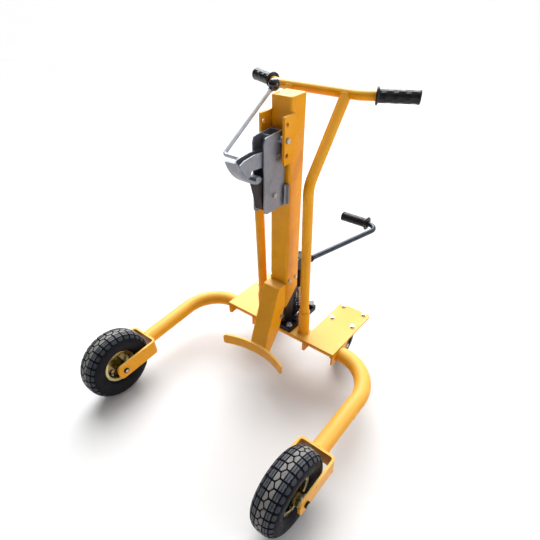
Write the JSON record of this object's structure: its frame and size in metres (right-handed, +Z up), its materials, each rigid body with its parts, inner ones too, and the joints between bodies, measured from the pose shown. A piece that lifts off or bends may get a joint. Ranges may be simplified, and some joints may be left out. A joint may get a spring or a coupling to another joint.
{
  "type": "hydraulic drum truck",
  "caption": "Hydraulic drum truck: splayed yellow tube legs on block-tread tyres, rear casters, lifting column with belly plate and beak gripper, push handle and foot pump.",
  "frame": {"origin": "on the floor, at the middle of the rectangle that the truck covers", "axes": "+Z up, -Y towards the drum between the front wheels, +Y towards the operator's handle and pedal, X across the truck"},
  "size_m": [0.906, 1.143, 0.999],
  "materials": {
    "yellow_paint": "glossy orange-yellow powder coat",
    "rubber_grip": "moulded black grip rubber",
    "zinc": "bright zinc plate",
    "bright_rod": "drawn bright steel rod",
    "dark_steel": "oiled drawn steel",
    "black_paint": "satin black paint",
    "chrome_rod": "hard chrome, ground",
    "nylon": "natural nylon",
    "silver_paint": "satin silver-grey",
    "black_steel": "black oxide steel, oiled",
    "steel_bar": "blued bar steel",
    "knob_plastic": "polished black phenolic",
    "knob_metal": "black hand knob",
    "spring_steel": "bright spring steel",
    "gold_zinc": "yellow passivated zinc plate",
    "tyre": "black tyre rubber",
    "caster_tread": "black solid caster rubber"
  },
  "bodies": {
    "frame": {"cross_tube": "yellow_paint", "left_leg_tube": "yellow_paint", "right_leg_tube": "yellow_paint", "deck_plates": "yellow_paint", "gussets": "yellow_paint", "left_wheel_fork": "yellow_paint", "right_wheel_fork": "yellow_paint", "upright_sockets": "yellow_paint", "left_upright": "yellow_paint", "right_upright": "yellow_paint", "handlebar": "yellow_paint", "left_grip": "rubber_grip", "right_grip": "rubber_grip", "axle_hardware": "zinc", "caster_plates": "black_paint", "deck_bolts": "zinc", "inner_mast": "black_steel", "lift_cylinder": "dark_steel", "pump_base": "black_paint", "pump_bracket": "black_paint", "pedal_pivot_pin": "black_paint", "pump_fittings": "zinc"},
    "lift": {"lift_column": "yellow_paint", "belly_arm": "yellow_paint", "belly_plate": "yellow_paint", "gripper_brackets": "yellow_paint", "column_bolts": "zinc", "guide_pads": "nylon", "piston_rod": "chrome_rod", "gripper_housing": "silver_paint", "rear_channel": "silver_paint", "gripper_pins": "zinc"},
    "upper_jaw": {"beak_jaw": "silver_paint", "release_rod": "bright_rod", "ball_knob": "knob_plastic"},
    "catch": {"lower_jaw": "black_steel"},
    "pedal": {"pedal_head": "black_paint", "pedal_bar": "steel_bar", "pedal_grip": "rubber_grip", "pedal_roller": "steel_bar"},
    "plunger": {"plunger": "chrome_rod", "spring_cap": "zinc", "return_spring": "spring_steel"},
    "release_valve": {"release_knob": "knob_metal"},
    "left_wheel": {"left_tyre": "tyre", "left_rim": "gold_zinc", "left_hub": "gold_zinc", "left_bearings": "spring_steel", "left_rim_bolts": "gold_zinc"},
    "left_caster": {"left_caster_fork": "black_paint", "left_caster_axle": "zinc"},
    "left_caster_roller": {"left_caster_wheel": "caster_tread"},
    "right_wheel": {"right_tyre": "tyre", "right_rim": "gold_zinc", "right_hub": "gold_zinc", "right_bearings": "spring_steel", "right_rim_bolts": "gold_zinc"},
    "right_caster": {"right_caster_fork": "black_paint", "right_caster_axle": "zinc"},
    "right_caster_roller": {"right_caster_wheel": "caster_tread"}
  },
  "joints": [
    {"name": "lift_slide", "type": "slide", "parent": "frame", "child": "lift", "axis": [0, 0, 1], "range_m": [0, 0.25]},
    {"name": "upper_jaw_hinge", "type": "hinge", "parent": "lift", "child": "upper_jaw", "pos_m": [0, -0.0205, 0.836], "axis": [1, 0, 0], "range_deg": [-30, 0]},
    {"name": "catch_hinge", "type": "hinge", "parent": "lift", "child": "catch", "pos_m": [0, -0.0335, 0.731], "axis": [1, 0, 0], "range_deg": [-8, 0]},
    {"name": "pedal_hinge", "type": "hinge", "parent": "frame", "child": "pedal", "pos_m": [0, 0.1045, 0.425], "axis": [1, 0, 0], "range_deg": [-20, 0], "stiffness_Nm_per_rad": 7, "springref_deg": 51.57},
    {"name": "plunger_slide", "type": "slide", "parent": "frame", "child": "plunger", "axis": [0, 0, 1], "range_m": [-0.0151, 0], "deforming": ["return_spring"]},
    {"name": "release_valve_turn", "type": "hinge", "parent": "frame", "child": "release_valve", "pos_m": [0.044, 0.1695, 0.22], "axis": [0, 0, 1], "range_deg": [0, 90]},
    {"name": "left_wheel_spin", "type": "hinge", "parent": "frame", "child": "left_wheel", "pos_m": [-0.385, -0.4415, 0.13], "axis": [1, 0, 0], "continuous": true},
    {"name": "right_wheel_spin", "type": "hinge", "parent": "frame", "child": "right_wheel", "pos_m": [0.385, -0.4415, 0.13], "axis": [1, 0, 0], "continuous": true},
    {"name": "left_caster_swivel", "type": "hinge", "parent": "frame", "child": "left_caster", "pos_m": [-0.174, 0.2255, 0.17], "axis": [0, 0, 1], "continuous": true},
    {"name": "right_caster_swivel", "type": "hinge", "parent": "frame", "child": "right_caster", "pos_m": [0.174, 0.2255, 0.17], "axis": [0, 0, 1], "continuous": true},
    {"name": "left_caster_roll", "type": "hinge", "parent": "left_caster", "child": "left_caster_roller", "pos_m": [-0.174, 0.2035, 0.075], "axis": [1, 0, 0], "continuous": true},
    {"name": "right_caster_roll", "type": "hinge", "parent": "right_caster", "child": "right_caster_roller", "pos_m": [0.174, 0.2035, 0.075], "axis": [1, 0, 0], "continuous": true}
  ],
  "couplings": [
    {"joint": "plunger_slide", "follows": "pedal_hinge", "m_per_rad": 0.043}
  ]
}
